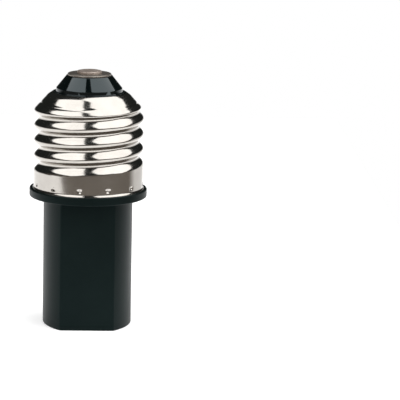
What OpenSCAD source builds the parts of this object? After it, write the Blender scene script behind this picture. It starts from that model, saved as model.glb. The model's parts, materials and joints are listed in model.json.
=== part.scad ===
// Adapter that screws into a lamp holder and offers a keyed plug-in socket.
// It stands on the mouth of its tube, with the screw shell and the centre contact on top.
// The mouth is at z = 0, the screw axis is Z, and the two flats of the tube face +Y and -Y.

/* [Tube] */
// Length of the tube, from its mouth to the flange
tube_h = 31; // [28:0.5:40]
// Width of the tube across its two round sides
tube_w = 21.3; // [20.6:0.1:22]
// Width of the tube across its two flats
tube_flats = 20.15; // [19.6:0.05:20.8]
// Radius of the two round sides
side_r = 14; // [12.5:0.25:16]
// Wall of the tube
tube_wall = 1.4; // [1:0.1:1.8]
// Chamfer round the outside of the mouth
mouth_chamfer = 0.25; // [0.1:0.05:0.4]
// Chamfer that leads a plug into the mouth
lead_in = 0.5; // [0.2:0.1:0.8]

/* [Socket floor] */
// Depth of the socket, from the mouth to its floor
socket_depth = 21.5; // [18:0.5:23]
// Thickness of the floor that carries the contacts
floor_t = 3; // [2:0.5:4]
// Thickness of the rib that stands between the contacts
rib_t = 1.6; // [1:0.1:2]
// Depth of the rib's edge below the mouth
rib_depth = 10; // [7:0.5:14]

/* [Flange and spigot] */
// Radius of the flange
flange_r = 14.05; // [13.6:0.05:15]
// Thickness of the flange
flange_t = 2; // [1.4:0.1:3]
// Chamfer on both edges of the flange
flange_chamfer = 0.3; // [0.1:0.1:0.5]
// Height of the thick collar inside the shell's skirt
collar_h = 3.2; // [2.6:0.1:3.6]
// Height of the taper at the top of the collar
collar_taper = 0.6; // [0.3:0.1:0.8]
// Height of the spigot above the flange
spigot_h = 18; // [17:0.1:18.5]
// Wall of the spigot inside the thread
spigot_wall = 1.9; // [1.2:0.1:2.2]
// Radius of the wire chamber behind the socket floor
chamber_r = 8.6; // [7.6:0.1:9]
// Width of the notch that lets the neutral wire reach the shell
notch_w = 2.6; // [2.4:0.1:4]
// Depth of the notch below the end of the spigot
notch_h = 11; // [10.5:0.5:12]

/* [Screw shell] */
// Diameter over the thread's crests
thread_major_d = 26.15; // [25.9:0.05:26.45]
// Diameter over the thread's roots
thread_minor_d = 24; // [23.8:0.05:24.26]
// Pitch of the thread, which is seven turns to the inch
thread_pitch = 3.629; // [3.5:0.001:3.75]
// Height of the shell, from the flange to its top
shell_h = 23.5; // [22.8:0.05:25]
// Thickness of the rolled sheet
sheet_t = 0.35; // [0.25:0.05:0.4]
// Radius of the plain skirt
skirt_r = 13.1; // [13.1:0.05:13.3]
// How far the skirt's lower edge flares out
skirt_flare = 0.2; // [0:0.05:0.3]
// Height of a crest above the flange on the +X side, less whole turns
crest_start = 2.4; // [1.8:0.1:3]
// Angle from the +X side at which the last groove has run out into the skirt
fade_angle = 90; // [60:5:120]
// Angle over which the last groove gets shallow
fade_span = 60; // [30:5:90]
// Height above the flange at which the thread runs into the taper
taper_start = 19.3; // [18.9:0.1:19.8]
// Radius of the taper where it starts
taper_r = 12.75; // [12.6:0.05:13]
// Hollow of the taper, as its depth below a straight line
taper_hollow = 0.12; // [0:0.02:0.2]
// Radius of the hole at the top of the taper
hole_r = 8.35; // [8:0.05:8.8]
// Width of the flat edge round the hole
hole_edge = 0.15; // [0.1:0.01:0.2]

/* [Staking] */
// Number of punch marks round the skirt
mark_count = 12; // [12,16,24]
// Angle of the first punch mark from the +X side
mark_angle = 18.4; // [0:0.1:30]
// Height of the punch marks above the flange
mark_h = 1.3; // [1:0.1:1.6]
// Height of one punch mark
mark_size = 1.1; // [0.8:0.1:1.4]
// Depth of the punch marks
mark_depth = 0.28; // [0.1:0.02:0.3]
// Depth of the groove in the collar that the punch marks bite into
groove_depth = 0.4; // [0.36:0.02:0.6]

/* [Nose insulator] */
// Height of the nose above the hole of the shell
nose_h = 3.55; // [3.3:0.05:4.5]
// Radius of the nose under the contact plate
tip_r = 5.45; // [5.4:0.05:5.8]
// Radius where the cone starts
cone_r = 7.7; // [7.3:0.05:7.85]
// Height above the hole at which the cone starts
cone_h = 0.75; // [0.6:0.05:1]
// Height of the nose's upright edge above the hole
brim_h = 0.1; // [0.05:0.05:0.3]
// Length of the stem that plugs into the spigot
stem_h = 3; // [2:0.5:4]
// Wall of the stem
stem_wall = 1.3; // [0.8:0.1:1.6]
// Thickness of the tip that the contact rivet passes through
tip_t = 3.6; // [2.6:0.1:4]
// Height above the spigot at which the hollow starts to narrow
hollow_h = 1.5; // [1:0.1:2]
// Radius of the hollow under the tip
tip_hollow_r = 4.7; // [4.6:0.1:5.4]

/* [Centre contact] */
// Radius of the contact plate
plate_r = 5.2; // [4.8:0.1:5.6]
// Thickness of the contact plate
plate_t = 0.45; // [0.3:0.05:0.6]
// Radius of the contact rivet's head
rivet_head_r = 2.95; // [2.6:0.05:3.4]
// Height of the contact rivet's head
rivet_head_h = 0.65; // [0.4:0.05:1]
// Radius of the contact rivet's shank
rivet_shank_r = 1.5; // [1.2:0.1:1.7]
// Wall of the contact rivet's hollow shank
rivet_wall = 0.6; // [0.4:0.1:0.8]
// Radius of the contact rivet's clinched tail
rivet_tail_r = 2.1; // [1.9:0.1:2.4]
// Thickness of the clinched tail
rivet_tail_t = 0.4; // [0.3:0.1:0.6]
// Radius of the solder tag under the tip
tag_r = 3; // [2.7:0.1:3.2]
// Width of the solder tag's arm
tag_arm_w = 2; // [1.4:0.1:2.2]
// Length of the arm, measured down from the tip
tag_arm_h = 4.9; // [3.5:0.1:5.5]

/* [Socket contacts] */
// Thickness of the contact leaves
leaf_t = 0.5; // [0.4:0.05:0.6]
// Width of a contact leaf
leaf_w = 7; // [6:0.1:7.4]
// Width of the leaf's neck where it passes through the floor
neck_w = 5; // [3.5:0.1:5.4]
// Distance of a leaf's middle plane from the rib's middle plane
leaf_y = 6.8; // [6.6:0.05:7.2]
// Sideways shift of a leaf towards its wing
leaf_shift = 0.2; // [0:0.05:0.4]
// Depth of the leaves' front edges below the mouth
leaf_depth = 8; // [5:0.5:12]
// Width of the side wing of a contact
wing_w = 4.6; // [3:0.1:4.8]
// Angle between the leaf and its wing
wing_angle = 107.5; // [100:0.5:115]
// Room between a leaf and the socket floor where the leaf narrows to its neck
leaf_room = 0.4; // [0.2:0.1:0.8]
// Radius of the pressed dimple that grips a plug's pin
dimple_r = 1.3; // [1:0.1:1.6]
// Height of the dimple over the leaf
dimple_h = 0.5; // [0.3:0.05:0.6]
// Distance of the dimple from the leaf's front edge
dimple_at = 2.9; // [2:0.1:4]

/* [Rivets and terminals] */
// Distance of the foot rivets from the rib's middle plane
foot_rivet_y = 4.4; // [4.3:0.05:4.6]
// Radius of a foot rivet's shank
foot_rivet_r = 0.9; // [0.7:0.05:1.1]
// Radius of a foot rivet's heads
foot_head_r = 1.65; // [1.4:0.05:1.8]
// Height of a foot rivet's heads
foot_head_h = 0.7; // [0.5:0.05:0.9]
// Thickness of the solder tag and of the wire terminals
terminal_t = 0.4; // [0.3:0.05:0.5]
// Radius of a wire terminal's ring
ring_r = 2.1; // [1.9:0.1:2.3]
// Distance of the crimp barrels from the rib's middle plane
barrel_y = 2; // [1.9:0.05:2.2]
// Height of a crimp barrel
barrel_h = 3.8; // [2.5:0.1:5]
// Height of the barrel's lower end above the ring
barrel_lift = 0.9; // [0.6:0.1:1.5]
// Wall of a crimp barrel
barrel_wall = 0.35; // [0.25:0.05:0.4]

/* [Wires] */
// Radius of a bare conductor
core_r = 0.5; // [0.4:0.05:0.55]
// Wall of a wire's insulation
sleeve_wall = 0.5; // [0.3:0.05:0.55]
// Slack of the live wire, as its bow towards the chamber's wall
live_bow = 3.4; // [1:0.1:4]
// Slack of the neutral wire, as its bow away from the notch
neutral_bow = 1.2; // [0:0.1:2]
// Radius of a solder joint
solder_r = 0.95; // [0.85:0.05:1]
// Height of a solder joint
solder_h = 2.2; // [1.6:0.1:2.6]

/* [Fit] */
// Clearance between pieces that seat in each other
fit_gap = 0.1; // [0.05:0.01:0.15]
// Clearance between faces that rest on each other
seat_gap = 0.02; // [0.01:0.01:0.05]

/* [Hidden] */

$fn = 96;
cut = 1;            // how far a cutting shape runs past the face that it opens

// Heights, counted up from the mouth
floor_top = socket_depth + floor_t;
flange_z = tube_h + flange_t;
shell_z = flange_z + seat_gap;
shell_top = shell_z + shell_h;
taper_z = flange_z + taper_start;
spigot_top = flange_z + spigot_h;
nose_z = spigot_top + seat_gap;
nose_top = shell_top + nose_h;
roof_z = nose_top - tip_t;
plate_z = nose_top + seat_gap;
rivet_z = plate_z + plate_t + seat_gap;

// Screw thread, whose crest and root are equal arcs that run into each other
crest_r = thread_major_d / 2;
root_r = thread_minor_d / 2;
thread_depth = crest_r - root_r;
thread_arc = (pow(thread_pitch, 2) / 4 + pow(thread_depth, 2)) / (4 * thread_depth);
shell_columns = mark_count * 4;
rows_per_turn = 10;
outer_row = thread_pitch / rows_per_turn;
inner_row = 2 * outer_row;
blend_row = 0.25;
taper_run = taper_r - hole_r - hole_edge;
taper_rise = shell_top - taper_z;
taper_t = sheet_t * norm([taper_run, taper_rise]) / taper_rise;
hole_low = shell_top - (taper_t - hole_edge) * taper_rise / taper_run;
last_crest_z = flange_z + crest_start + thread_pitch * fade_angle / 360;

// Pieces inside the shell
side_offset = side_r - tube_w / 2;
shell_room = 1.5 * fit_gap;    // clearance inside the sheet, whose facets cut the corner of each curve
spigot_r = root_r - sheet_t - shell_room;
spigot_bore_r = spigot_r - spigot_wall;
collar_r = skirt_r - sheet_t - shell_room;
stem_r = spigot_bore_r - fit_gap;
stem_bore_r = stem_r - stem_wall;
neck_r = hole_r - fit_gap;
taper_room = taper_t + taper_hollow + shell_room;

// Socket contacts
foot_y = leaf_y - leaf_t / 2;
leaf_top = socket_depth - leaf_room;
foot_z = floor_top + seat_gap;
ring_z = foot_z + leaf_t + seat_gap;
barrel_z = ring_z + terminal_t + barrel_lift;
barrel_bore_r = core_r + fit_gap;
barrel_r = barrel_bore_r + barrel_wall;

// Wires, from their terminals to the centre tag and to the shell
sleeve_bore_r = core_r + fit_gap / 2;
sleeve_r = sleeve_bore_r + sleeve_wall;
wire_sides = 12;
core_steps = 20;
sleeve_steps = 14;
arm_y = rivet_tail_r + fit_gap + 2 * core_r + 2 * seat_gap + fit_gap;
core_top_y = arm_y - core_r - seat_gap;
shell_joint_r = root_r - sheet_t - fit_gap - solder_r;
sleeve_start_z = barrel_z + barrel_h + core_r;
core_start_z = barrel_z + fit_gap;
arm_low = roof_z - seat_gap - tag_arm_h;
live_top = roof_z - terminal_t - rivet_tail_t - 2 * seat_gap - core_r;
live_joint_z = live_top - solder_h - core_r;
neutral_top = spigot_top - stem_h - core_r;
neutral_joint_z = neutral_top - solder_h / 2;

// Each wire is its start, its end, its bow and the straight lengths at its two ends
live_wire = [[-leaf_shift, -barrel_y, core_start_z], [0, -core_top_y, live_top],
             [-live_bow / sqrt(2), -live_bow / sqrt(2), 0],
             barrel_h, live_top - arm_low + core_r];
neutral_wire = [[leaf_shift, barrel_y, core_start_z], [0, shell_joint_r, neutral_top],
                [0, -neutral_bow, 0],
                barrel_h, neutral_top - neutral_joint_z + core_r];

// Plain shape of the tube, drawn in from its outside by inset
module tube_section(inset, z0, z1) {
    funnel_section(inset, inset, z0, z1);
}

// Shape of the tube that is drawn in by one amount below and by another above
module funnel_section(inset0, inset1, z0, z1) {
    h = z1 - z0;
    half0 = tube_flats / 2 - inset0;
    half1 = tube_flats / 2 - inset1;
    translate([0, 0, z0]) intersection() {
        for_side(-1) cylinder(r1 = side_r - inset0, r2 = side_r - inset1, h = h);
        for_side(1) cylinder(r1 = side_r - inset0, r2 = side_r - inset1, h = h);
        rotate([90, 0, 90]) linear_extrude(tube_w + 2 * cut, center = true)
            polygon([[-half0, 0], [half0, 0], [half1, h], [-half1, h]]);
    }
}

module for_side(side) {
    translate([side * side_offset, 0, 0]) children();
}

// Box between two corners
module box(low, high) {
    translate(low) cube(high - low);
}

// Tube, socket floor, flange and spigot are one moulding
module housing() {
    color("#1c1f20") difference() {
        union() {
            housing_tube();
            housing_flange();
            housing_spigot();
        }
        socket_cavity();
        wire_chamber();
        floor_holes(-1);
        floor_holes(1);
        translate([-notch_w / 2, 0, spigot_top - notch_h])
            cube([notch_w, skirt_r, notch_h + cut]);
    }
}

module housing_tube() {
    funnel_section(mouth_chamfer, 0, 0, mouth_chamfer);
    tube_section(0, mouth_chamfer, tube_h + flange_t / 2);
}

module housing_flange() {
    translate([0, 0, tube_h]) rotate_extrude()
        polygon([[0, 0], [flange_r - flange_chamfer, 0], [flange_r, flange_chamfer],
                 [flange_r, flange_t - flange_chamfer], [flange_r - flange_chamfer, flange_t],
                 [0, flange_t]]);
}

// The collar fills the skirt and its groove takes the punch marks
module housing_spigot() {
    groove_low = mark_h - mark_size / 2 - fit_gap;
    groove_high = mark_h + mark_size / 2 + fit_gap;
    translate([0, 0, flange_z - flange_t / 2]) rotate_extrude()
        translate([0, flange_t / 2])
        polygon([[0, -flange_t / 2], [collar_r, -flange_t / 2],
                 [collar_r, groove_low], [collar_r - groove_depth, groove_low],
                 [collar_r - groove_depth, groove_high], [collar_r, groove_high],
                 [collar_r, collar_h - collar_taper], [spigot_r, collar_h],
                 [spigot_r, spigot_top - flange_z], [0, spigot_top - flange_z]]);
}

// Open socket with the rib left standing between the two contacts
module socket_cavity() {
    difference() {
        union() {
            funnel_section(tube_wall - lead_in - cut, tube_wall, -cut, lead_in);
            tube_section(tube_wall, lead_in - fit_gap, socket_depth);
        }
        box([-tube_w / 2, -rib_t / 2, rib_depth], [tube_w / 2, rib_t / 2, socket_depth + cut]);
    }
}

module wire_chamber() {
    rotate_extrude()
        polygon([[0, floor_top], [chamber_r, floor_top], [chamber_r, flange_z],
                 [spigot_bore_r, flange_z + spigot_bore_r - chamber_r],
                 [spigot_bore_r, spigot_top + cut], [0, spigot_top + cut]]);
}

// Slot for a contact's neck and hole for its rivet
module floor_holes(side) {
    facing(side) {
        box([-leaf_shift - neck_w / 2 - fit_gap, -leaf_y - leaf_t / 2 - fit_gap, socket_depth - cut],
            [-leaf_shift + neck_w / 2 + fit_gap, -leaf_y + leaf_t / 2 + fit_gap, floor_top + cut]);
        translate([-leaf_shift, -foot_rivet_y, socket_depth - cut])
            cylinder(r = foot_rivet_r + fit_gap, h = floor_t + 2 * cut);
    }
}

// What is drawn on the -Y side is turned half round for the +Y side
module facing(side) {
    rotate([0, 0, side < 0 ? 0 : 180]) children();
}

// Radius of the thread at height z and angle a, set in from the outside by t
function thread_radius(a, z, t) =
    let (turns = (z - flange_z - crest_start) / thread_pitch - a / 360,
         dz = abs(turns - round(turns)) * thread_pitch,
         crest_arc = thread_arc - t,
         root_arc = thread_arc + t,
         meet = thread_pitch / 4 * crest_arc / thread_arc)
    dz < meet ? crest_r - thread_arc + sqrt(pow(crest_arc, 2) - dz * dz)
              : root_r + thread_arc - sqrt(pow(root_arc, 2) - pow(thread_pitch / 2 - dz, 2));

// Smooth step from 1 at z0 down to 0 at z1
function fall(z, z0, z1) =
    z <= z0 ? 1 : z >= z1 ? 0 : (1 + cos(180 * (z - z0) / (z1 - z0))) / 2;

// Angle past the place where the last groove has run out
function past_fade(a) = (a - fade_angle + 360) % 360;

// Plain skirt up to the thread's last crest, and the last groove where it gets shallow
function skirt_radius(a, z) =
    let (turns = (z - flange_z - crest_start) / thread_pitch - (fade_angle + past_fade(a)) / 360,
         filled = turns < 0 ? 1 : turns < 1 ? fall(past_fade(a), 0, fade_span) : 0)
    root_r + (skirt_r - root_r) * filled + skirt_flare * fall(z, shell_z, shell_z + mark_h - mark_size / 2);

// Taper over the thread's end, which is a little hollow
function taper_radius(z) =
    let (s = (z - taper_z) / taper_rise)
    taper_r - taper_run * s - taper_hollow * sin(180 * max(0, min(1, s)));

// Height at which the taper's straight line has radius r
function taper_height(r) = taper_z + (taper_r - r) * taper_rise / taper_run;

// Punch marks push the sheet in at their own column and height
function mark_push(column, z) =
    column % (shell_columns / mark_count) == 0
    ? mark_depth * max(0, 1 - abs(z - shell_z - mark_h) / (mark_size / 2)) : 0;

function shell_radius(a, column, z, t) =
    min(max(thread_radius(a, z, t), skirt_radius(a, z) - t), taper_radius(z) - t * taper_t / sheet_t)
    - mark_push(column, z);

function column_angle(column) = mark_angle + 360 * column / shell_columns;

function shell_ring(z, t) =
    [for (c = [0 : shell_columns - 1])
        let (a = column_angle(c), r = shell_radius(a, c, z, t)) [r * cos(a), r * sin(a), z]];

function round_ring(r, z) =
    [for (c = [0 : shell_columns - 1])
        let (a = column_angle(c)) [r * cos(a), r * sin(a), z]];

function skirt_rows() =
    [shell_z, shell_z + mark_h - mark_size / 2, shell_z + mark_h,
     shell_z + mark_h + mark_size / 2];

function thread_rows(step, top) =
    [for (z = [last_crest_z - outer_row : step : top - blend_row]) z];

function backwards(list) = [for (i = [len(list) - 1 : -1 : 0]) list[i]];

// Rolled sheet with a plain skirt, a helical thread and a taper that ends in a round hole
module screw_shell() {
    outer_rows = concat(skirt_rows(), thread_rows(outer_row, shell_top));
    inner_rows = backwards(concat(skirt_rows(), thread_rows(inner_row, hole_low)));
    hole = [round_ring(hole_r + hole_edge, shell_top), round_ring(hole_r, shell_top),
            round_ring(hole_r, hole_low)];
    color("#c8c8c4") looped_skin(concat([for (z = outer_rows) shell_ring(z, 0)], hole,
                                        [for (z = inner_rows) shell_ring(z, sheet_t)]));
}

// Skin over rings that close on themselves, such as a tube with a wall
module looped_skin(rings) {
    m = len(rings);
    n = len(rings[0]);
    polyhedron([for (ring = rings) each ring],
               [for (i = [0 : m - 1], j = [0 : n - 1])
                   let (a = i * n, b = (i + 1) % m * n, k = (j + 1) % n)
                   each [[a + j, b + j, b + k], [a + j, b + k, a + k]]]);
}

// Skin over rings from a first flat end to a last one
module capped_skin(rings) {
    m = len(rings);
    n = len(rings[0]);
    sides = [for (i = [0 : m - 2], j = [0 : n - 1])
                let (a = i * n, b = a + n, k = (j + 1) % n)
                each [[a + j, b + j, b + k], [a + j, b + k, a + k]]];
    ends = [[for (j = [0 : n - 1]) j], [for (j = [n - 1 : -1 : 0]) (m - 1) * n + j]];
    polyhedron([for (ring = rings) each ring], concat(sides, ends));
}

// Moulded nose that the taper holds down on the spigot, with a stem, a hollow and a drilled tip
module nose_insulator() {
    color("#141516") rotate_extrude()
        polygon([[stem_bore_r, spigot_top - stem_h], [stem_r, spigot_top - stem_h],
                 [stem_r, nose_z], [spigot_r, nose_z], [spigot_r, taper_height(spigot_r + taper_room)],
                 [neck_r, taper_height(neck_r + taper_room)], [neck_r, shell_top + brim_h],
                 [cone_r, shell_top + cone_h], [tip_r, nose_top],
                 [rivet_shank_r + fit_gap, nose_top], [rivet_shank_r + fit_gap, roof_z],
                 [tip_hollow_r, roof_z], [stem_bore_r, nose_z + hollow_h]]);
}

module centre_contact_plate() {
    edge = plate_t / 3;
    color("#b08d4a") translate([0, 0, plate_z]) rotate_extrude()
        polygon([[rivet_shank_r + fit_gap, 0], [plate_r, 0], [plate_r, plate_t - edge],
                 [plate_r - edge, plate_t], [rivet_shank_r + fit_gap, plate_t]]);
}

// Hollow rivet whose head is the contact and whose tail holds the solder tag
module centre_contact_rivet() {
    edge = rivet_head_h / 2;
    tail_z = roof_z - terminal_t - 2 * seat_gap;
    color("#c9a45c") rotate_extrude()
        polygon([[rivet_shank_r - rivet_wall, tail_z - rivet_tail_t],
                 [rivet_tail_r, tail_z - rivet_tail_t], [rivet_tail_r, tail_z],
                 [rivet_shank_r, tail_z], [rivet_shank_r, rivet_z], [rivet_head_r, rivet_z],
                 [rivet_head_r, rivet_z + rivet_head_h - edge],
                 [rivet_head_r - edge, rivet_z + rivet_head_h], [0, rivet_z + rivet_head_h],
                 [0, rivet_z], [rivet_shank_r - rivet_wall, rivet_z - rivet_wall]]);
}

// Washer under the tip with an arm bent down for the live conductor
module centre_solder_tag() {
    top = roof_z - seat_gap;
    color("#b9b3a2") {
        difference() {
            union() {
                translate([0, 0, top - terminal_t]) cylinder(r = tag_r, h = terminal_t);
                box([-tag_arm_w / 2, -arm_y - terminal_t, top - terminal_t],
                    [tag_arm_w / 2, 0, top]);
                box([-tag_arm_w / 2, -arm_y - terminal_t, top - tag_arm_h],
                    [tag_arm_w / 2, -arm_y, top]);
            }
            translate([0, 0, top - terminal_t - cut])
                cylinder(r = rivet_shank_r + fit_gap, h = terminal_t + 2 * cut);
        }
    }
}

// Solder round the live conductor, against the tag's arm
module centre_solder_joint() {
    color("#9c9d9f") difference() {
        translate([0, -core_top_y, live_joint_z]) cylinder(r = solder_r, h = solder_h);
        translate([0, -core_top_y, live_joint_z - cut])
            cylinder(r = core_r + seat_gap, h = solder_h + 2 * cut);
        box([-solder_r - cut, -core_top_y - solder_r - cut, live_joint_z - cut],
            [solder_r + cut, -arm_y + seat_gap, live_joint_z + solder_h + cut]);
    }
}

// Solder between the neutral conductor's end and the inside of the shell
module shell_solder_joint() {
    color("#9c9d9f") translate([0, shell_joint_r, 0]) difference() {
        union() {
            translate([0, 0, neutral_joint_z]) cylinder(r = solder_r, h = solder_h / 2);
            translate([0, 0, neutral_top]) sphere(r = solder_r);
        }
        translate([0, 0, neutral_joint_z - cut])
            cylinder(r = core_r + seat_gap, h = cut + neutral_top - neutral_joint_z + seat_gap);
    }
}

// Leaf with a bent wing, a pressed dimple and a foot that lies on the floor
module contact(side) {
    mid_x = -leaf_shift;
    corner_x = mid_x - leaf_w / 2;
    color("#cfd0cd") facing(side) difference() {
        union() {
            leaf_and_wing(corner_x);
            dimple_outside(mid_x);
            box([mid_x - neck_w / 2, -leaf_y - leaf_t / 2, leaf_top - leaf_t],
                [mid_x + neck_w / 2, -foot_y, foot_z + leaf_t]);
            box([mid_x - neck_w / 2, -leaf_y - leaf_t / 2, foot_z],
                [mid_x + neck_w / 2, -foot_rivet_y + ring_r, foot_z + leaf_t]);
        }
        translate([mid_x, -leaf_y - leaf_t / 2 + dimple_h - dimple_r, leaf_depth + dimple_at])
            sphere(r = dimple_r);
        translate([mid_x, -foot_rivet_y, foot_z - cut])
            cylinder(r = foot_rivet_r + fit_gap, h = leaf_t + 2 * cut);
    }
}

module leaf_and_wing(corner_x) {
    translate([0, 0, leaf_depth]) linear_extrude(leaf_top - leaf_depth) {
        translate([corner_x, -leaf_y - leaf_t / 2]) square([leaf_w, leaf_t]);
        translate([corner_x, -leaf_y]) circle(r = leaf_t / 2);
        translate([corner_x, -leaf_y]) rotate(wing_angle)
            translate([0, -leaf_t / 2]) square([wing_w, leaf_t]);
    }
}

module dimple_outside(mid_x) {
    intersection() {
        translate([mid_x, -leaf_y + leaf_t / 2 + dimple_h - dimple_r, leaf_depth + dimple_at])
            sphere(r = dimple_r);
        box([mid_x - leaf_w / 2, -leaf_y, leaf_depth], [mid_x + leaf_w / 2, 0, leaf_top]);
    }
}

module foot_rivet(side) {
    low = socket_depth - seat_gap;
    high = ring_z + terminal_t + seat_gap;
    edge = foot_head_h / 2;
    color("#c2a05a") facing(side) translate([-leaf_shift, -foot_rivet_y, 0]) rotate_extrude()
        polygon([[0, low - foot_head_h], [foot_head_r - edge, low - foot_head_h],
                 [foot_head_r, low - foot_head_h + edge], [foot_head_r, low],
                 [foot_rivet_r, low], [foot_rivet_r, high], [foot_head_r, high],
                 [foot_head_r, high + foot_head_h - edge],
                 [foot_head_r - edge, high + foot_head_h], [0, high + foot_head_h]]);
}

// Ring under the foot rivet with a crimp barrel for the conductor
module terminal(side) {
    front = -barrel_y + barrel_r;
    color("#d2cfc6") facing(side) translate([-leaf_shift, 0, 0]) difference() {
        union() {
            translate([0, -foot_rivet_y, ring_z]) cylinder(r = ring_r, h = terminal_t);
            box([-barrel_r, -foot_rivet_y, ring_z], [barrel_r, front, ring_z + terminal_t]);
            box([-barrel_r, front - terminal_t, ring_z], [barrel_r, front, barrel_z]);
            box([-barrel_r, -barrel_y, barrel_z - terminal_t], [barrel_r, front, barrel_z]);
            translate([0, -barrel_y, barrel_z]) cylinder(r = barrel_r, h = barrel_h);
        }
        translate([0, -foot_rivet_y, ring_z - cut])
            cylinder(r = foot_rivet_r + fit_gap, h = terminal_t + 2 * cut);
        translate([0, -barrel_y, barrel_z])
            cylinder(r = barrel_bore_r, h = barrel_h + cut);
    }
}

function unit(v) = v / norm(v);

// Point of a wire at height z, upright at both ends and bowed between them
function wire_point(wire, z) =
    let (start = wire[0], end = wire[1], curve_low = start[2] + wire[3], curve_high = end[2] - wire[4],
         t = min(1, max(0, (z - curve_low) / (curve_high - curve_low))),
         ease = t * t * (3 - 2 * t))
    [start[0] + (end[0] - start[0]) * ease, start[1] + (end[1] - start[1]) * ease, z]
    + wire[2] * pow(sin(180 * t), 2);

// Ring of the given radius square to the wire at height z
function wire_ring(wire, z, r) =
    let (along = unit(wire_point(wire, z + seat_gap) - wire_point(wire, z - seat_gap)),
         across = unit(cross(along, [1, 0, 0])),
         other = cross(along, across))
    [for (k = [0 : wire_sides - 1])
        let (a = 360 * k / wire_sides)
        wire_point(wire, z) + r * (cos(a) * across + sin(a) * other)];

function wire_rings(wire, z0, z1, steps, r) =
    [for (i = [0 : steps]) wire_ring(wire, z0 + (z1 - z0) * i / steps, r)];

module wire_core(wire) {
    color("#b8733a") capped_skin(wire_rings(wire, wire[0][2], wire[1][2], core_steps, core_r));
}

// The insulation covers the core but for its two stripped ends
module wire_sleeve(wire, top, tint) {
    color(tint) looped_skin(concat(
        wire_rings(wire, sleeve_start_z, top, sleeve_steps, sleeve_r),
        backwards(wire_rings(wire, sleeve_start_z, top, sleeve_steps, sleeve_bore_r))));
}

module live_contact() { contact(-1); }
module neutral_contact() { contact(1); }
module live_rivet() { foot_rivet(-1); }
module neutral_rivet() { foot_rivet(1); }
module live_terminal() { terminal(-1); }
module neutral_terminal() { terminal(1); }

module live_wire_core() { wire_core(live_wire); }
module neutral_wire_core() { wire_core(neutral_wire); }
module live_wire_sleeve() { wire_sleeve(live_wire, arm_low - core_r, "#6b4226"); }
module neutral_wire_sleeve() { wire_sleeve(neutral_wire, neutral_joint_z - 2 * core_r, "#2f5f9e"); }

housing();
screw_shell();
nose_insulator();
centre_contact_plate();
centre_contact_rivet();
centre_solder_tag();
centre_solder_joint();
shell_solder_joint();
live_contact();
neutral_contact();
live_rivet();
neutral_rivet();
live_terminal();
neutral_terminal();
live_wire_core();
live_wire_sleeve();
neutral_wire_core();
neutral_wire_sleeve();
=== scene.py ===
"""Looks of the lamp socket adapter: a black keyed tube under a nickel-plated lamp screw.

Sizes are in millimetres where not marked; mesh_piece() and block() turn them into metres.
The adapter stands on its mouth at z = 0, and its flats face +Y and -Y.
Turned outlines are lists of (radius, height, fillet radius).
"""

import json
import math

import bmesh
import bpy
from mathutils import Matrix, Vector


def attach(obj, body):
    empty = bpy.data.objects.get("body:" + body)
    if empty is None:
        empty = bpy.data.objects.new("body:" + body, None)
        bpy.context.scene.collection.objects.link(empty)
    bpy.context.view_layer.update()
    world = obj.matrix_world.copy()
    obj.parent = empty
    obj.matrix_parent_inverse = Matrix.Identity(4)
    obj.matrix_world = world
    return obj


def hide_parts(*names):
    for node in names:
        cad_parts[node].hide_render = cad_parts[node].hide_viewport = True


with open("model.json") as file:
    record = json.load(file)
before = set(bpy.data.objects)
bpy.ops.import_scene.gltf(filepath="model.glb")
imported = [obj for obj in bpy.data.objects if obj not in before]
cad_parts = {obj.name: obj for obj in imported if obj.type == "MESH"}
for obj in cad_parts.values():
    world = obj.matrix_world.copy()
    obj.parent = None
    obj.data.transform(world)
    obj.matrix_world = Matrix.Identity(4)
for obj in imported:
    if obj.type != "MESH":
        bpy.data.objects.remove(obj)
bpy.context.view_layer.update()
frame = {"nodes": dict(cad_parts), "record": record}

MM = 0.001

# Camera: where the photograph shows the point AIM, and how it looks at it
IMAGE_SIZE = 400
SENSOR_MM = 36.0
AIM_MM = (0.0, 0.0, 32.0)
AIM_PIXEL = (88.17, 190.95)
CAMERA_DISTANCE_MM = 577.0
CAMERA_ELEVATION = math.radians(11.23)
CAMERA_ROLL = math.radians(0.68)
PIXELS_PER_MM = 4.167

# Studio: levels are brightness, where 1 is white
LAMP_AIM_Z_M = 0.05
LAMP_DISTANCE_M = 0.5
LAMP_LEVEL = 2.0
FILL_LEVEL = 0.3
ROOM_LEVEL = 0.02
ROOM_COLOUR = (0.88, 1.0, 0.95, 1.0)
TABLE_LEVEL = 0.23
TABLE_COLOUR = (1.0, 0.9, 0.8, 1.0)
FLOOR_LEFT = 300.0
FLOOR_RIGHT = 90.0
FLOOR_FRONT = 110.0
FLOOR_BACK = 300.0
FLOOR_T = 2.0
FLOOR_GLOW = 0.3

# Softboxes: azimuth, elevation and roll in degrees, then place and size in their own plane,
# across and along, as shares of LAMP_DISTANCE_M
SOFTBOXES = {
    "softbox_left": (-70, 45, 60, (0.204, -0.225), (0.852, 1.75)),
    "softbox_right": (70, 45, -35.6, (-0.03, 0.33), (1.34, 2.15)),
}

# Tube, flange and spigot of the housing
TUBE_H = 31.0
TUBE_W = 21.3
TUBE_FLATS = 20.15
SIDE_R = 14.0
TUBE_WALL = 1.4
CORNER_R = 0.55
INNER_CORNER_R = 0.45
MOUTH_R = 0.25
ROOT_R = 0.45
SOCKET_DEPTH = 21.5
SOCKET_ROOT_R = 0.4
FLOOR_TOP = 24.5
RIB_T = 1.6
RIB_DEPTH = 10.0
RIB_EDGE = 0.25
FLANGE_R = 14.05
FLANGE_TOP = 33.0
COLLAR_R = 12.6
COLLAR_TOP = 36.2
GROOVE_LOW = 33.7
GROOVE_TOP = 35.0
GROOVE_DEPTH = 0.4
SPIGOT_R = 11.5
SPIGOT_BORE_R = 9.6
SPIGOT_TOP = 51.0
CHAMBER_R = 8.6
CHAMBER_ROOF = 34.0
EDGE_R = 0.3

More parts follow.
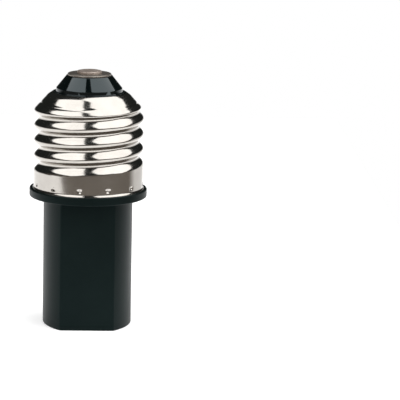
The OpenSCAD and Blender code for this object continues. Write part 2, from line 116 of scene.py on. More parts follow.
# Openings in the socket floor for a contact, and the neutral wire's notch in the spigot
LEAF_SHIFT = 0.2
NECK_Y = 6.8
NECK_HALF_W = 2.6
NECK_HALF_T = 0.35
RIVET_Y = 4.4
RIVET_HOLE_R = 1.0
NOTCH_HALF_W = 1.3
NOTCH_IN_Y = 5.0
NOTCH_OUT_Y = 14.0
NOTCH_LOW = 40.0

# Screw shell
THREAD_MAJOR_R = 13.075
THREAD_MINOR_R = 12.0
THREAD_PITCH = 3.629
CREST_START = 2.4
SHEET_T = 0.35
SHELL_LOW = 33.02
SHELL_TOP = 56.1
SKIRT_R = 13.1
SKIRT_FLARE = 0.22
FLARE_H = 0.45
FADE_ANGLE = 90.0
FADE_SPAN = 60.0
LAST_CREST_Z = FLANGE_TOP + CREST_START + THREAD_PITCH * FADE_ANGLE / 360
TAPER_LOW = 52.3
TAPER_LOW_R = 12.75
TAPER_BREAK = 55.4
TAPER_BREAK_R = 9.9
TAPER_HOLLOW = 0.06
TAPER_CORNER = 0.35
BREAK_CORNER = 0.15
BEND_Z = 53.4
BEND_HALF_H = 0.5
BEND_DEPTH = 0.18
HOLE_R = 8.65
HOLE_EDGE = 0.15
SHELL_COLUMNS = 288
ROWS_PER_TURN = 26
SKIRT_ROW = 0.11
INNER_ROW_SHARE = 3

# Punch marks round the skirt
MARK_COUNT = 12
MARK_ANGLE = 21.0
MARK_Z = SHELL_LOW + 1.3
MARK_HALF_W = 0.42
MARK_HALF_H = 0.5
MARK_DEPTH = 0.26

# Nose insulator
STEM_LOW = 48.0
STEM_R = 9.5
STEM_BORE_R = 8.2
NOSE_LOW = 51.02
NOSE_TOP = 60.07
BRIM_R = 11.5
BRIM_EDGE_Z = 52.78
SLOPE_TOP = 55.55
NECK_R = 8.5
BRIM_Z = 56.2
FOOT_R = 7.93
FOOT_Z = 56.3
CONE_R = 7.85
CONE_Z = 57.1
TIP_R = 5.45
NOSE_BORE_R = 1.6
ROOF_Z = 56.5
ROOF_R = 4.7
HOLLOW_LOW = 52.5

# Centre contact: its disc, and the rivet's head and tail
PLATE_R = 5.2
PLATE_LOW = 60.09
PLATE_TOP = 60.54
RIVET_TOP = 61.21
RIVET_HEAD_LOW = PLATE_TOP + 0.02
RIVET_HEAD_R = 2.95
RIVET_BEVEL = 0.5
RIVET_SHANK_R = 1.5
RIVET_BORE_R = 0.9
RIVET_BORE_TOP = RIVET_HEAD_LOW - 0.6
TAIL_LOW = 55.65
TAIL_TOP = 56.03
TAIL_R = 2.1

ROUND_SEGMENTS = 192


def srgb(r, g, b):
    """Linear colour of an 8-bit screen colour."""
    def linear(value):
        share = value / 255
        return share / 12.92 if share <= 0.04045 else ((share + 0.055) / 1.055) ** 2.4
    return (linear(r), linear(g), linear(b), 1.0)


# Mesh helpers

def mesh_piece(name, vertices, faces, sharp_degrees=40.0):
    """Object from points in millimetres, shaded smooth up to the given edge angle."""
    mesh = bpy.data.meshes.new(name)
    mesh.from_pydata([tuple(c * MM for c in v) for v in vertices], [], faces)
    mesh.validate()
    turn_outward(mesh)
    mesh.shade_smooth()
    mesh.set_sharp_from_angle(angle=math.radians(sharp_degrees))
    obj = bpy.data.objects.new(name, mesh)
    bpy.context.scene.collection.objects.link(obj)
    return obj


def turn_outward(mesh):
    """Turn all faces of a closed mesh outward."""
    work = bmesh.new()
    work.from_mesh(mesh)
    bmesh.ops.remove_doubles(work, verts=work.verts, dist=1e-7)
    bmesh.ops.recalc_face_normals(work, faces=work.faces)
    work.to_mesh(mesh)
    work.free()


def skin(rings, closed):
    """Points and faces over rings of equal length.

    A closed skin joins the last ring to the first, and an open one ends in flat caps.
    """
    count = len(rings[0])
    points = [p for ring in rings for p in ring]
    faces = []
    for i in range(len(rings) if closed else len(rings) - 1):
        low = i * count
        high = (i + 1) % len(rings) * count
        for j in range(count):
            k = (j + 1) % count
            faces.append((low + j, low + k, high + k, high + j))
    if not closed:
        faces.append(tuple(range(count)))
        faces.append(tuple(range((len(rings) - 1) * count, len(rings) * count)))
    return points, faces


def circle(radius, z, count=ROUND_SEGMENTS):
    return [(radius * math.cos(math.tau * i / count), radius * math.sin(math.tau * i / count), z)
            for i in range(count)]


def fillet_profile(corners, closed, steps=6):
    """Round the corners of an (r, z, radius) outline and return its (r, z) points."""
    points = []
    count = len(corners)
    for i, (r, z, radius) in enumerate(corners):
        here = Vector((r, z))
        if radius <= 0 or (not closed and i in (0, count - 1)):
            points.append((r, z))
            continue
        before = Vector(corners[i - 1][:2]) - here
        after = Vector(corners[(i + 1) % count][:2]) - here
        half = before.angle(after) / 2
        reach = min(radius / math.tan(half), before.length * 0.49, after.length * 0.49)
        radius = reach * math.tan(half)
        bisector = (before.normalized() + after.normalized()).normalized()
        centre = here + bisector * (radius / math.sin(half))
        start = here + before.normalized() * reach - centre
        end = here + after.normalized() * reach - centre
        sweep = math.atan2(start.cross(end), start.dot(end))
        for k in range(steps + 1):
            a = sweep * k / steps
            turned = Vector((start.x * math.cos(a) - start.y * math.sin(a),
                             start.x * math.sin(a) + start.y * math.cos(a)))
            points.append(tuple(centre + turned))
    return points


def turned_piece(name, corners, closed=True, steps=6, sharp_degrees=40.0):
    """Turned piece from an (r, z, fillet) outline. An open outline ends in flat caps."""
    rings = [circle(max(r, 0.001), z) for r, z in fillet_profile(corners, closed, steps)]
    return mesh_piece(name, *skin(rings, closed), sharp_degrees=sharp_degrees)


def side_x(y, inset):
    """Half width of the tube's section at y, drawn in by inset."""
    offset = SIDE_R - TUBE_W / 2
    return math.sqrt(max((SIDE_R - inset) ** 2 - y * y, 0.0)) - offset


def tube_ring(inset, z, corner):
    """Outline of the tube's section, flats at +Y and -Y, with rounded corners."""
    offset = SIDE_R - TUBE_W / 2
    radius = SIDE_R - inset
    flat_y = TUBE_FLATS / 2 - inset
    fillet_y = flat_y - corner
    fillet_x = math.sqrt((radius - corner) ** 2 - fillet_y ** 2) - offset
    end = math.atan2(fillet_y, fillet_x + offset)
    quarter = ROUND_SEGMENTS // 4
    corner_steps = 10
    flat_steps = 10
    side_steps = quarter - corner_steps - flat_steps
    points = []
    for i in range(side_steps):
        a = end * i / side_steps
        points.append((radius * math.cos(a) - offset, radius * math.sin(a)))
    for i in range(corner_steps):
        a = end + (math.pi / 2 - end) * i / corner_steps
        points.append((fillet_x + corner * math.cos(a), fillet_y + corner * math.sin(a)))
    for i in range(flat_steps + 1):
        points.append((fillet_x * (1 - i / flat_steps), flat_y))
    upper = points + [(-x, y) for x, y in reversed(points[:-1])]
    lower = [(-x, -y) for x, y in upper[1:-1]]
    return [(x, y, z) for x, y in upper + lower]


def matched_circle(radius, z, outline):
    """Circle whose points lie in the directions of an outline's points."""
    points = []
    for x, y, _ in outline:
        reach = math.hypot(x, y)
        points.append((radius * x / reach, radius * y / reach, z))
    return points


# Material helpers

class Nodes:
    """Short names for building a node tree."""

    def __init__(self, name):
        self.material = bpy.data.materials.new(name)
        self.material.use_nodes = True
        self.tree = self.material.node_tree
        self.tree.nodes.clear()
        self.shader = self.add("ShaderNodeBsdfPrincipled")
        output = self.add("ShaderNodeOutputMaterial")
        self.link(self.shader, 0, output, "Surface")
        self.place = self.add("ShaderNodeTexCoord")

    def add(self, kind, **settings):
        node = self.tree.nodes.new(kind)
        for key, value in settings.items():
            setattr(node, key, value)
        return node

    def link(self, source, output, target, socket):
        self.tree.links.new(source.outputs[output], target.inputs[socket])

    def noise(self, scale, detail=4.0, roughness=0.55, stretch=(1, 1, 1)):
        """Noise over the object, in metres, with the given stretch of its coordinates."""
        mapping = self.add("ShaderNodeMapping")
        mapping.inputs["Scale"].default_value = stretch
        self.link(self.place, "Object", mapping, "Vector")
        node = self.add("ShaderNodeTexNoise")
        node.inputs["Scale"].default_value = scale
        node.inputs["Detail"].default_value = detail
        node.inputs["Roughness"].default_value = roughness
        self.link(mapping, 0, node, "Vector")
        return node

    def ramp(self, source, output, stops):
        """Colour ramp with (place, colour) stops."""
        node = self.add("ShaderNodeValToRGB")
        elements = node.color_ramp.elements
        elements[0].position, elements[0].color = stops[0]
        elements[1].position, elements[1].color = stops[-1]
        for place, colour in stops[1:-1]:
            elements.new(place).color = colour
        self.link(source, output, node, "Fac")
        return node

    def spread(self, source, output, low, high):
        """Map a value from 0 to 1 onto low to high."""
        node = self.add("ShaderNodeMapRange")
        node.inputs["To Min"].default_value = low
        node.inputs["To Max"].default_value = high
        self.link(source, output, node, "Value")
        return node

    def bump(self, source, output, strength, depth):
        """Bump of the given depth in metres."""
        node = self.add("ShaderNodeBump")
        node.inputs["Strength"].default_value = strength
        node.inputs["Distance"].default_value = depth
        self.link(source, output, node, "Height")
        return node

    def set(self, **values):
        names = {"metallic": "Metallic", "rough": "Roughness", "specular": "Specular IOR Level",
                 "tint": "Specular Tint"}
        for key, value in values.items():
            self.shader.inputs[names[key]].default_value = value


def grey(value):
    return (value, value, value, 1.0)


def plastic_material(name, dark, light, rough_low, rough_high, grain, specular=0.5,
                     tint=(1, 1, 1, 1)):
    """Moulded plastic with cloudy colour, uneven gloss and a fine spark-eroded grain."""
    nodes = Nodes(name)
    clouds = nodes.noise(90.0, detail=5.0)
    colour = nodes.ramp(clouds, "Fac", [(0.3, dark), (0.7, light)])
    nodes.link(colour, "Color", nodes.shader, "Base Color")
    wipe = nodes.noise(260.0, detail=6.0, roughness=0.7, stretch=(1, 1, 0.25))
    rough = nodes.spread(wipe, "Fac", rough_low, rough_high)
    nodes.link(rough, "Result", nodes.shader, "Roughness")
    pits = nodes.noise(5200.0, detail=3.0, roughness=0.6)
    bump = nodes.bump(pits, "Fac", grain, 0.00004)
    nodes.link(bump, "Normal", nodes.shader, "Normal")
    nodes.set(specular=specular, tint=tint)
    return nodes.material


def metal_material(name, dark, light, rough_low, rough_high, scale, stretch, grain):
    """Metal with a faint stain, uneven gloss and fine drawn lines."""
    nodes = Nodes(name)
    stain = nodes.noise(scale, detail=6.0, roughness=0.65)
    colour = nodes.ramp(stain, "Fac", [(0.32, dark), (0.62, light)])
    nodes.link(colour, "Color", nodes.shader, "Base Color")
    lines = nodes.noise(900.0, detail=5.0, roughness=0.7, stretch=stretch)
    rough = nodes.spread(lines, "Fac", rough_low, rough_high)
    nodes.link(rough, "Result", nodes.shader, "Roughness")
    bump = nodes.bump(lines, "Fac", grain, 0.00002)
    nodes.link(bump, "Normal", nodes.shader, "Normal")
    nodes.set(metallic=1.0)
    return nodes.material


def make_materials():
    """One material for each slot of the record."""
    drawn = (0.12, 0.12, 3.0)
    plain = (1, 1, 1)
    # Dark and light colour, lowest and highest roughness, grain, gloss and its tint
    plastics = {
        "black_moulding": (srgb(8, 14, 13), srgb(13, 20, 19), 0.34, 0.46, 0.18,
                           0.12, (0.6, 0.97, 1.0, 1.0)),
        "black_gloss": (srgb(3, 8, 8), srgb(5, 10, 10), 0.05, 0.1, 0.02,
                        0.7, (0.82, 0.96, 1.0, 1.0)),
        "brown_insulation": (srgb(86, 52, 30), srgb(106, 66, 40), 0.4, 0.55, 0.1),
        "blue_insulation": (srgb(38, 80, 138), srgb(50, 98, 162), 0.4, 0.55, 0.1),
    }
    # Dark and light colour, lowest and highest roughness, stain scale, stretch of lines, grain
    metals = {
        "nickel_plate": (srgb(182, 177, 171), srgb(193, 189, 183), 0.08, 0.18,
                         140.0, drawn, 0.05),
        "contact_brass": (srgb(126, 118, 110), srgb(162, 156, 148), 0.36, 0.5,
                          420.0, plain, 0.1),
        "rivet_brass": (srgb(170, 156, 146), srgb(206, 194, 184), 0.46, 0.6,
                        500.0, plain, 0.1),
        "tinned_leaf": (srgb(196, 197, 196), srgb(222, 222, 220), 0.16, 0.3,
                        300.0, plain, 0.08),
        "tinned_copper": (srgb(180, 176, 168), srgb(208, 205, 198), 0.2, 0.36,
                          300.0, plain, 0.1),
        "bare_copper": (srgb(168, 100, 62), srgb(206, 132, 88), 0.22, 0.36,
                        500.0, plain, 0.1),
        "solder": (srgb(140, 141, 144), srgb(176, 177, 180), 0.28, 0.5,
                   600.0, plain, 0.25),
    }
    made = {name: plastic_material(name, *values) for name, values in plastics.items()}
    made.update({name: metal_material(name, *values) for name, values in metals.items()})
    return made


def dress(obj, material):
    """Give a new piece one material."""
    obj.data.materials.clear()
    obj.data.materials.append(material)


# Pieces

def make_shell(material):
    """Rolled sheet shell: a skirt with punch marks, a helical thread and a taper with a hole."""
    middle_r = (THREAD_MAJOR_R + THREAD_MINOR_R) / 2
    half_depth = (THREAD_MAJOR_R - THREAD_MINOR_R) / 2

    def thread_radius(angle, z):
        turns = (z - FLANGE_TOP - CREST_START) / THREAD_PITCH - angle / 360
        return middle_r + half_depth * math.cos(math.tau * turns)

    def fall(z, z0, z1):
        share = min(max((z - z0) / (z1 - z0), 0.0), 1.0)
        return (1 + math.cos(math.pi * share)) / 2

    def soft_min(a, b, width):
        """Smaller of two values, rounded off where they are nearly the same."""
        near = max(width - abs(a - b), 0.0) / width
        return min(a, b) - near * near * width / 4

    def skirt_radius(angle, z):
        """Plain skirt up to the thread's last crest, and the last groove where it gets shallow."""
        past = (angle - FADE_ANGLE) % 360
        turns = (z - FLANGE_TOP - CREST_START) / THREAD_PITCH - (FADE_ANGLE + past) / 360
        filled = 1.0 if turns < 0 else fall(past, 0, FADE_SPAN) if turns < 1 else 0.0
        return (THREAD_MINOR_R + (SKIRT_R - THREAD_MINOR_R) * filled
                + SKIRT_FLARE * fall(z, SHELL_LOW, SHELL_LOW + FLARE_H))

    def line(z, z0, r0, z1, r1):
        """Radius at z on the straight line through two points."""
        return r0 + (r1 - r0) * (z - z0) / (z1 - z0)

    def taper_radius(z):
        """Slope up to the hole, flatter at its top end and a little hollow above its foot."""
        slope = line(z, TAPER_LOW, TAPER_LOW_R, TAPER_BREAK, TAPER_BREAK_R)
        end = line(z, TAPER_BREAK, TAPER_BREAK_R, SHELL_TOP, HOLE_R + HOLE_EDGE)
        share = min(max((z - TAPER_LOW) / (SHELL_TOP - TAPER_LOW), 0.0), 1.0)
        hollow = TAPER_HOLLOW * math.sin(math.pi * share)
        bend = BEND_DEPTH * fall(abs(z - BEND_Z), 0, BEND_HALF_H)
        return soft_min(slope, end, BREAK_CORNER) - hollow - bend

    def mark_push(angle, z):
        """Depth of the nearest punch mark at an angle in degrees."""
        gap = 360 / MARK_COUNT
        off = (angle - MARK_ANGLE + gap / 2) % gap - gap / 2
        across = abs(math.radians(off)) * SKIRT_R / MARK_HALF_W
        along = abs(z - MARK_Z) / MARK_HALF_H
        return MARK_DEPTH * max(0.0, 1 - across ** 2) * max(0.0, 1 - along ** 2)

    def shell_ring(z, inset):
        ring = []
        for i in range(SHELL_COLUMNS):
            angle = 360 * i / SHELL_COLUMNS
            body = max(thread_radius(angle, z), skirt_radius(angle, z)) - inset
            slope = taper_radius(z) - inset * math.sqrt(2)
            radius = soft_min(body, slope, TAPER_CORNER)
            radius -= mark_push(angle, z)
            turn = math.radians(angle)
            ring.append((radius * math.cos(turn), radius * math.sin(turn), z))
        return ring

    def rows(low, high, step):
        return [low + i * step for i in range(int((high - low) / step) + 1)]

    row = THREAD_PITCH / ROWS_PER_TURN
    outer_rows = rows(SHELL_LOW, LAST_CREST_Z, SKIRT_ROW)
    outer_rows += rows(LAST_CREST_Z + row, SHELL_TOP - row, row)
    inner_top = SHELL_TOP - SHEET_T
    inner_rows = rows(SHELL_LOW, LAST_CREST_Z, INNER_ROW_SHARE * SKIRT_ROW)
    inner_rows += rows(LAST_CREST_Z + row, inner_top - 2 * row, INNER_ROW_SHARE * row)
    outer = [shell_ring(z, 0.0) for z in outer_rows]
    inner = [shell_ring(z, SHEET_T) for z in inner_rows]
    hole = fillet_profile([
        (HOLE_R + HOLE_EDGE + 0.05, SHELL_TOP - 0.05, 0.0),
        (HOLE_R + HOLE_EDGE / 2, SHELL_TOP, 0.1),
        (HOLE_R, SHELL_TOP - 0.1, 0.05),
        (HOLE_R, inner_top, 0.0)], closed=False, steps=3)
    rim = [circle(r, z, SHELL_COLUMNS) for r, z in hole]
    shell = mesh_piece("shell_rolled", *skin(outer + rim + inner[::-1], closed=True),
                       sharp_degrees=60.0)
    dress(shell, material)
    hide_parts("screw_shell")
    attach(shell, "root")
    return shell


def make_housing(material):
    """Tube, flange and spigot as one moulding, with the rib and the socket's pockets."""
    rings = [tube_ring(TUBE_WALL + 5.5, SOCKET_DEPTH, 0.2),
             tube_ring(TUBE_WALL + SOCKET_ROOT_R, SOCKET_DEPTH, INNER_CORNER_R)]
    for i in range(5):
        a = math.pi / 2 * i / 4
        rings.append(tube_ring(TUBE_WALL + SOCKET_ROOT_R * (1 - math.sin(a)),
                               SOCKET_DEPTH - SOCKET_ROOT_R * (1 - math.cos(a)), INNER_CORNER_R))
    for z in (14.0, 7.0, 2.0, 0.9, 0.5):
        rings.append(tube_ring(TUBE_WALL, z, INNER_CORNER_R))
    rings.append(tube_ring(TUBE_WALL - 0.5, 0.04, INNER_CORNER_R))
    rings.append(tube_ring(TUBE_WALL - 0.56, 0.0, INNER_CORNER_R))
    for i in range(7):
        a = math.radians(15 * i - 90)
        inset = MOUTH_R - MOUTH_R * math.cos(a)
        z = MOUTH_R + MOUTH_R * math.sin(a)
        rings.append(tube_ring(inset, z, max(CORNER_R - inset * 0.15, 0.2)))
    for z in (1.5, 6.0, 12.0, 18.0, 24.0, TUBE_H - 1.2):
        rings.append(tube_ring(0.0, z, CORNER_R))
    for i in range(6):
        a = math.pi / 2 * i / 5
        rings.append(tube_ring(-ROOT_R * (1 - math.cos(a)), TUBE_H - ROOT_R + ROOT_R * math.sin(a),
                               CORNER_R))
    outline = rings[-1]
    flange = fillet_profile([
        (COLLAR_R, TUBE_H, 0), (FLANGE_R, TUBE_H, EDGE_R), (FLANGE_R, FLANGE_TOP, EDGE_R),
        (COLLAR_R, FLANGE_TOP, 0.05), (COLLAR_R, GROOVE_LOW, 0),
        (COLLAR_R - GROOVE_DEPTH, GROOVE_LOW, 0), (COLLAR_R - GROOVE_DEPTH, GROOVE_TOP, 0),
        (COLLAR_R, GROOVE_TOP, 0), (COLLAR_R, COLLAR_TOP - 0.6, 0),
        (SPIGOT_R, COLLAR_TOP, 0), (SPIGOT_R, SPIGOT_TOP, 0.2),
        (SPIGOT_BORE_R, SPIGOT_TOP, 0.2), (SPIGOT_BORE_R, CHAMBER_ROOF, 0),
        (CHAMBER_R, FLANGE_TOP, 0), (CHAMBER_R, FLOOR_TOP, 0.3), (2.0, FLOOR_TOP, 0)],
        closed=False)
    rings += [matched_circle(r, z, outline) for r, z in flange]
    housing = mesh_piece("housing_moulding", *skin(rings, closed=False), sharp_degrees=35.0)
    join_rib(housing)
    cut_floor(housing)
    dress(housing, material)
    smooth_flats(housing)
    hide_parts("housing")
    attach(housing, "root")
    return housing


def block(name, low, high, edge=0.0):
    """Box between two corners in millimetres, with rounded edges."""
    work = bmesh.new()
    bmesh.ops.create_cube(work, size=1.0)
    size = Vector(high) - Vector(low)
    middle = (Vector(high) + Vector(low)) / 2
    for vert in work.verts:
        vert.co = Vector((vert.co[i] * size[i] + middle[i] for i in range(3))) * MM
    if edge:
        bmesh.ops.bevel(work, geom=list(work.edges), offset=edge * MM, segments=3, profile=0.5,
                        affect="EDGES")
    mesh = bpy.data.meshes.new(name)
    work.to_mesh(mesh)
    work.free()
    obj = bpy.data.objects.new(name, mesh)
    bpy.context.scene.collection.objects.link(obj)
    return obj


def rod(name, x, y, low, high, radius, count=48):
    """Upright cylinder with its axis at x, y."""
    points, faces = skin([circle(radius, low, count), circle(radius, high, count)], closed=False)
    return mesh_piece(name, [(px + x, py + y, pz) for px, py, pz in points], faces)


def combine(target, tool, operation):
    """Apply an exact boolean to target and remove the tool."""
    modifier = target.modifiers.new("shape", "BOOLEAN")
    modifier.operation = operation
    modifier.solver = "EXACT"
    modifier.object = tool
    graph = bpy.context.evaluated_depsgraph_get()
    result = bpy.data.meshes.new_from_object(target.evaluated_get(graph))
    target.modifiers.clear()
    target.data = result
    bpy.data.objects.remove(tool)


def join_rib(housing):
    """Rib across the socket, which parts the two pockets."""
    half_w = side_x(0, TUBE_WALL) + 0.6
    rib = block("rib", (-half_w, -RIB_T / 2, RIB_DEPTH),
                (half_w, RIB_T / 2, SOCKET_DEPTH + 1.0), RIB_EDGE)
    combine(housing, rib, "UNION")


def cut_floor(housing):
    """Slots for the contacts' necks, holes for the rivets and the neutral wire's notch."""
    low = SOCKET_DEPTH - 1
    high = FLOOR_TOP + 1
    for side in (-1, 1):
        mid_x = side * LEAF_SHIFT
        mid_y = side * NECK_Y
        slot = block("slot", (mid_x - NECK_HALF_W, mid_y - NECK_HALF_T, low),
                     (mid_x + NECK_HALF_W, mid_y + NECK_HALF_T, high))
        combine(housing, slot, "DIFFERENCE")
        hole = rod("hole", mid_x, side * RIVET_Y, low, high, RIVET_HOLE_R)
        combine(housing, hole, "DIFFERENCE")
    notch = block("notch", (-NOTCH_HALF_W, NOTCH_IN_Y, NOTCH_LOW),
                  (NOTCH_HALF_W, NOTCH_OUT_Y, SPIGOT_TOP + 1))
    combine(housing, notch, "DIFFERENCE")


def smooth_flats(obj):
    """Keep large faces flat beside their small fillets."""
    obj.data.shade_smooth()
    obj.data.set_sharp_from_angle(angle=math.radians(35))
    modifier = obj.modifiers.new("flats", "WEIGHTED_NORMAL")
    modifier.keep_sharp = True
    modifier.weight = 100


def make_nose(gloss):
    """Nose under the shell's taper, with a stem below and a cone that carries the contact."""
    nose = turned_piece("nose_moulding", [
        (STEM_BORE_R, STEM_LOW, 0.1), (STEM_R, STEM_LOW, 0.3), (STEM_R, NOSE_LOW, 0.0),
        (BRIM_R, NOSE_LOW, 0.1), (BRIM_R, BRIM_EDGE_Z, 0.2), (NECK_R, SLOPE_TOP, 0.1),
        (NECK_R, BRIM_Z, 0.05), (FOOT_R, FOOT_Z, 0.05), (CONE_R, CONE_Z, 0.2),
        (TIP_R, NOSE_TOP, 0.25), (NOSE_BORE_R, NOSE_TOP, 0.0), (NOSE_BORE_R, ROOF_Z, 0.0),
        (ROOF_R, ROOF_Z, 0.0), (STEM_BORE_R, HOLLOW_LOW, 0.0)], steps=5)
    dress(nose, gloss)
    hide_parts("nose_insulator")
    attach(nose, "root")
    return nose


def make_centre_contact(plate_metal, rivet_metal):
    """Disc on the nose, and the rivet that holds it."""
    plate = turned_piece("contact_disc", [
        (NOSE_BORE_R, PLATE_LOW, 0.0), (PLATE_R, PLATE_LOW, 0.08), (PLATE_R, PLATE_TOP, 0.2),
        (NOSE_BORE_R, PLATE_TOP, 0.0)])
    dress(plate, plate_metal)
    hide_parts("centre_contact_plate")
    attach(plate, "root")
    rivet = turned_piece("contact_head", [
        (RIVET_BORE_R, TAIL_LOW, 0.0), (TAIL_R, TAIL_LOW, 0.1), (TAIL_R, TAIL_TOP, 0.1),
        (RIVET_SHANK_R, TAIL_TOP, 0.0), (RIVET_SHANK_R, RIVET_HEAD_LOW, 0.0),
        (RIVET_HEAD_R, RIVET_HEAD_LOW, 0.08), (RIVET_HEAD_R, RIVET_TOP - 0.12, 0.12),
        (RIVET_HEAD_R - RIVET_BEVEL, RIVET_TOP, 0.4), (0.0, RIVET_TOP, 0.0),
        (0.0, RIVET_HEAD_LOW, 0.0), (RIVET_BORE_R, RIVET_BORE_TOP, 0.0)])
    dress(rivet, rivet_metal)
    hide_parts("centre_contact_rivet")
    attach(rivet, "root")


def dress_cad_nodes(materials):
    """Materials and rounded edges for the pieces whose CAD shape is kept."""
    slots = {row["node"]: row["material_slot"] for row in frame["record"]["subparts"]}
    kept = ["live_contact", "neutral_contact", "live_rivet", "neutral_rivet", "live_terminal",
            "neutral_terminal", "centre_solder_tag", "centre_solder_joint", "shell_solder_joint",
            "live_wire_core", "live_wire_sleeve", "neutral_wire_core", "neutral_wire_sleeve"]
    for name in kept:
        obj = frame["nodes"][name]
        for slot in obj.material_slots:
            slot.material = materials[slots[name]]
        weld = obj.modifiers.new("weld", "WELD")
        weld.merge_threshold = 1e-6
        bevel = obj.modifiers.new("edges", "BEVEL")
        bevel.limit_method = "ANGLE"
        bevel.angle_limit = math.radians(50)
        bevel.width = 0.08 * MM
        bevel.segments = 2


# Stage, lights and camera

def add_background(tree, colour, strength):
    node = tree.nodes.new("ShaderNodeBackground")
    node.inputs["Color"].default_value = colour
    node.inputs["Strength"].default_value = strength
    return node


def make_world():
    """White for the camera, plain fill light, and for metal and gloss a dark room.

    The room has white ground behind the adapter and a brown table in front of the paper.
    """
    world = bpy.data.worlds.new("studio")
    bpy.context.scene.world = world
    world.use_nodes = True
    tree = world.node_tree
    tree.nodes.clear()
    output = tree.nodes.new("ShaderNodeOutputWorld")
    path = tree.nodes.new("ShaderNodeLightPath")
    place = tree.nodes.new("ShaderNodeTexCoord")
    parts = tree.nodes.new("ShaderNodeSeparateXYZ")
    tree.links.new(place.outputs["Generated"], parts.inputs[0])

    def ranged(axis, start, full):
        """Share from 0 to 1 as the view direction's axis goes from start to full."""
        node = tree.nodes.new("ShaderNodeMapRange")
        node.inputs["From Min"].default_value = start
        node.inputs["From Max"].default_value = full
        tree.links.new(parts.outputs[axis], node.inputs["Value"])
        return node.outputs["Result"]

    def maths(operation, first, second):
        node = tree.nodes.new("ShaderNodeMath")
        node.operation = operation
        tree.links.new(first, node.inputs[0])
        tree.links.new(second, node.inputs[1])
        return node.outputs[0]

    def mixed(share, first, second):
        node = tree.nodes.new("ShaderNodeMixShader")
        tree.links.new(share, node.inputs["Fac"])
        tree.links.new(first, node.inputs[1])
        tree.links.new(second, node.inputs[2])
        return node.outputs[0]

    fill = add_background(tree, (1, 1, 1, 1), FILL_LEVEL).outputs[0]
    room = add_background(tree, ROOM_COLOUR, ROOM_LEVEL).outputs[0]
    table = add_background(tree, TABLE_COLOUR, TABLE_LEVEL).outputs[0]
    white = add_background(tree, (1, 1, 1, 1), 1.0).outputs[0]
    behind = ranged("Y", 0.1, 0.4)
    below = ranged("Z", 0.02, -0.04)
    ground = maths("MULTIPLY", behind, below)
    low = ranged("Z", 0.05, -0.1)
    ahead = ranged("Y", 0.3, -0.1)
    fading = maths("MULTIPLY", ahead, ranged("Z", 0.45, -0.1))
    front = mixed(maths("MAXIMUM", low, fading), room, table)
    mirrored = maths("MAXIMUM", path.outputs["Is Glossy Ray"], path.outputs["Is Transmission Ray"])
    around = mixed(mirrored, fill, mixed(ground, front, white))
    tree.links.new(mixed(path.outputs["Is Camera Ray"], around, white), output.inputs["Surface"])


def make_floor():
    """White paper under the adapter that glows a little where it is seen, and keeps the shadow."""
    floor = block("floor", (-FLOOR_LEFT, -FLOOR_FRONT, -FLOOR_T), (FLOOR_RIGHT, FLOOR_BACK, 0))
    nodes = Nodes("floor_white")
    speck = nodes.noise(30.0, detail=3.0)
    colour = nodes.ramp(speck, "Fac", [(0.2, grey(0.9)), (0.8, grey(0.92))])
    nodes.link(colour, "Color", nodes.shader, "Base Color")
    nodes.set(rough=0.9, specular=0.1)
    path = nodes.add("ShaderNodeLightPath")
    seen = nodes.add("ShaderNodeMath", operation="MAXIMUM")
    nodes.link(path, "Is Camera Ray", seen, 0)
    nodes.link(path, "Is Glossy Ray", seen, 1)
    more = nodes.add("ShaderNodeMath", operation="MAXIMUM")
    nodes.link(seen, 0, more, 0)
    nodes.link(path, "Is Transmission Ray", more, 1)
    glow = nodes.add("ShaderNodeMath", operation="MULTIPLY")
    nodes.link(more, 0, glow, 0)
    glow.inputs[1].default_value = FLOOR_GLOW
    nodes.link(glow, 0, nodes.shader, "Emission Strength")
    nodes.shader.inputs["Emission Color"].default_value = (1, 1, 1, 1)
    floor.data.materials.append(nodes.material)


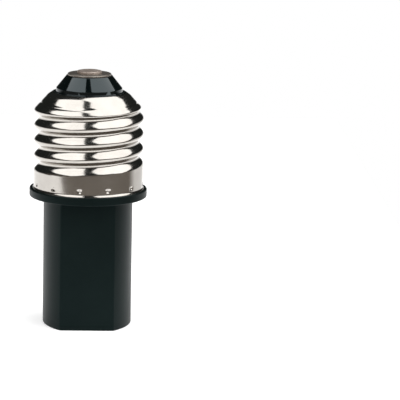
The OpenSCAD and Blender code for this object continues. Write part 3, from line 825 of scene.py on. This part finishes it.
def add_softbox(name, azimuth, elevation, roll, place, size):
    """Area lamp that faces the adapter, as a row of SOFTBOXES says."""
    az = math.radians(azimuth)
    el = math.radians(elevation)
    away = Vector((math.sin(az) * math.cos(el), -math.cos(az) * math.cos(el), math.sin(el)))
    turn = (away.to_track_quat("Z", "Y").to_matrix()
            @ Matrix.Rotation(math.radians(roll), 3, "Z"))
    lamp = bpy.data.lights.new(name, "AREA")
    lamp.shape = "RECTANGLE"
    lamp.size = size[0] * LAMP_DISTANCE_M
    lamp.size_y = size[1] * LAMP_DISTANCE_M
    lamp.energy = LAMP_LEVEL * math.pi * lamp.size * lamp.size_y
    obj = bpy.data.objects.new(name, lamp)
    bpy.context.scene.collection.objects.link(obj)
    aim = Vector((0, 0, LAMP_AIM_Z_M))
    centre = aim + turn @ Vector((*place, 1.0)) * LAMP_DISTANCE_M
    obj.matrix_world = Matrix.Translation(centre) @ turn.to_4x4()


def make_lights():
    """Two softboxes over the adapter, left and right, with a dark gap between them."""
    for name, values in SOFTBOXES.items():
        add_softbox(name, *values)


def make_camera():
    """Camera that shows the point AIM at AIM_PIXEL, by turning and not by shifting."""
    data = bpy.data.cameras.new("camera")
    data.sensor_width = SENSOR_MM
    focal_pixels = PIXELS_PER_MM * CAMERA_DISTANCE_MM
    data.lens = focal_pixels * SENSOR_MM / IMAGE_SIZE
    data.clip_start = 0.01
    camera = bpy.data.objects.new("camera", data)
    bpy.context.scene.collection.objects.link(camera)
    back = Vector((0, -math.cos(CAMERA_ELEVATION), math.sin(CAMERA_ELEVATION)))
    right = Vector((1, 0, 0))
    up = back.cross(right)
    look = Matrix((right, up, back)).transposed() @ Matrix.Rotation(CAMERA_ROLL, 3, "Z")
    across = AIM_PIXEL[0] - IMAGE_SIZE / 2
    down = AIM_PIXEL[1] - IMAGE_SIZE / 2
    sight = Vector((across, -down, -focal_pixels)).normalized()
    turn = sight.rotation_difference(Vector((0, 0, -1))).to_matrix()
    place = (Vector(AIM_MM) + back * CAMERA_DISTANCE_MM) * MM
    camera.matrix_world = Matrix.Translation(place) @ (look @ turn).to_4x4()
    bpy.context.scene.camera = camera


def main():
    scene = bpy.context.scene
    scene.view_settings.view_transform = "Standard"
    make_camera()
    make_world()
    make_floor()
    make_lights()
    materials = make_materials()
    make_housing(materials["black_moulding"])
    make_shell(materials["nickel_plate"])
    make_nose(materials["black_gloss"])
    make_centre_contact(materials["contact_brass"], materials["rivet_brass"])
    dress_cad_nodes(materials)
    bpy.context.view_layer.update()


main()
